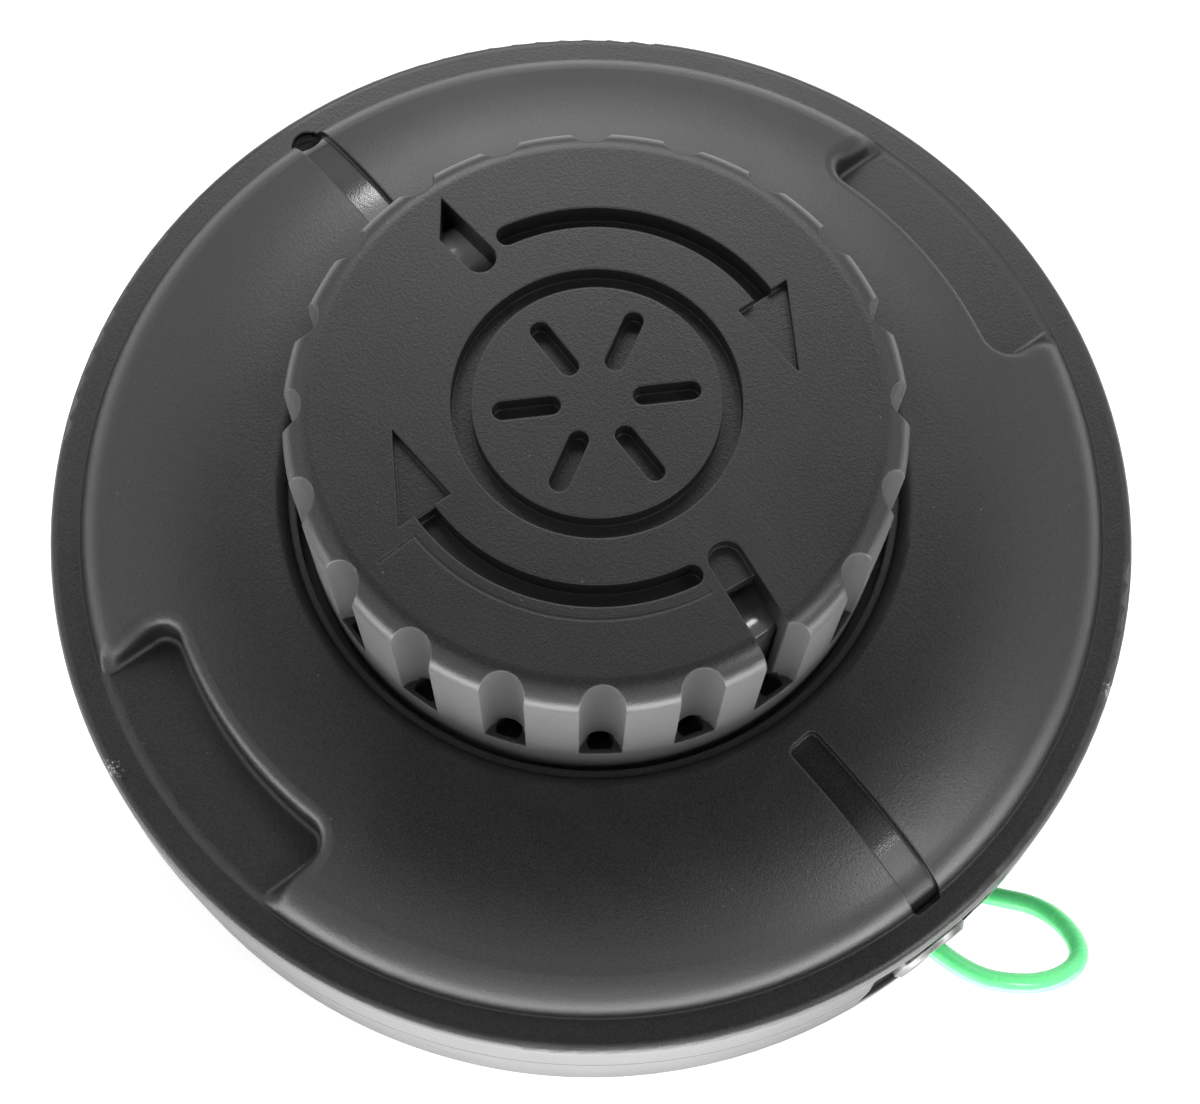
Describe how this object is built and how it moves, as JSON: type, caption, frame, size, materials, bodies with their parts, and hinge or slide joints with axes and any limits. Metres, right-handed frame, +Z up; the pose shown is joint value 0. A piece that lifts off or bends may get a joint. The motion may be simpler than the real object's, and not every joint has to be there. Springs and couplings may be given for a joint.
{
  "type": "trimmer head",
  "caption": "Bump-feed head for a string trimmer: domed cover dish on a drum housing, fluted bump knob, sprung spool of line inside, and a loop of green line at a side eyelet.",
  "frame": {"origin": "centre of the back seat, which is the lowest plane; the head lies on it with the bump knob up", "axes": "+Z up along the spindle axis towards the bump knob; +X towards the eyelet that holds the loop of line"},
  "size_m": [0.1446, 0.1312, 0.0657],
  "materials": {
    "housing": "satin black moulding",
    "dish": "satin black moulding, fine texture",
    "knob": "satin black moulding, fine texture",
    "spool": "smooth black moulding",
    "line": "bright green drawn line",
    "eyelet": "plated steel",
    "insert": "zinc-plated steel",
    "steel": "plain steel",
    "spring": "drawn spring wire"
  },
  "bodies": {
    "head": {"back_housing": "housing", "cover_dish": "dish", "drive_insert": "insert", "insert_washer": "steel", "eyelet_loop_side": "eyelet", "eyelet_open_side": "eyelet", "spring": "spring", "line_loop": "line"},
    "thrust": {"spring_cup": "steel"},
    "spool_and_knob": {"spool": "spool", "line_lower": "line", "line_upper": "line", "bump_knob": "knob"}
  },
  "joints": [
    {"name": "bump_travel", "type": "slide", "parent": "head", "child": "thrust", "axis": [0, 0, 1], "range_m": [-0.0055, 0], "stiffness_N_per_m": 2500, "springref_m": 0.008, "deforming": ["spring"]},
    {"name": "spool_turn", "type": "hinge", "parent": "thrust", "child": "spool_and_knob", "pos_m": [0, 0, 0.03], "axis": [0, 0, 1], "continuous": true}
  ]
}
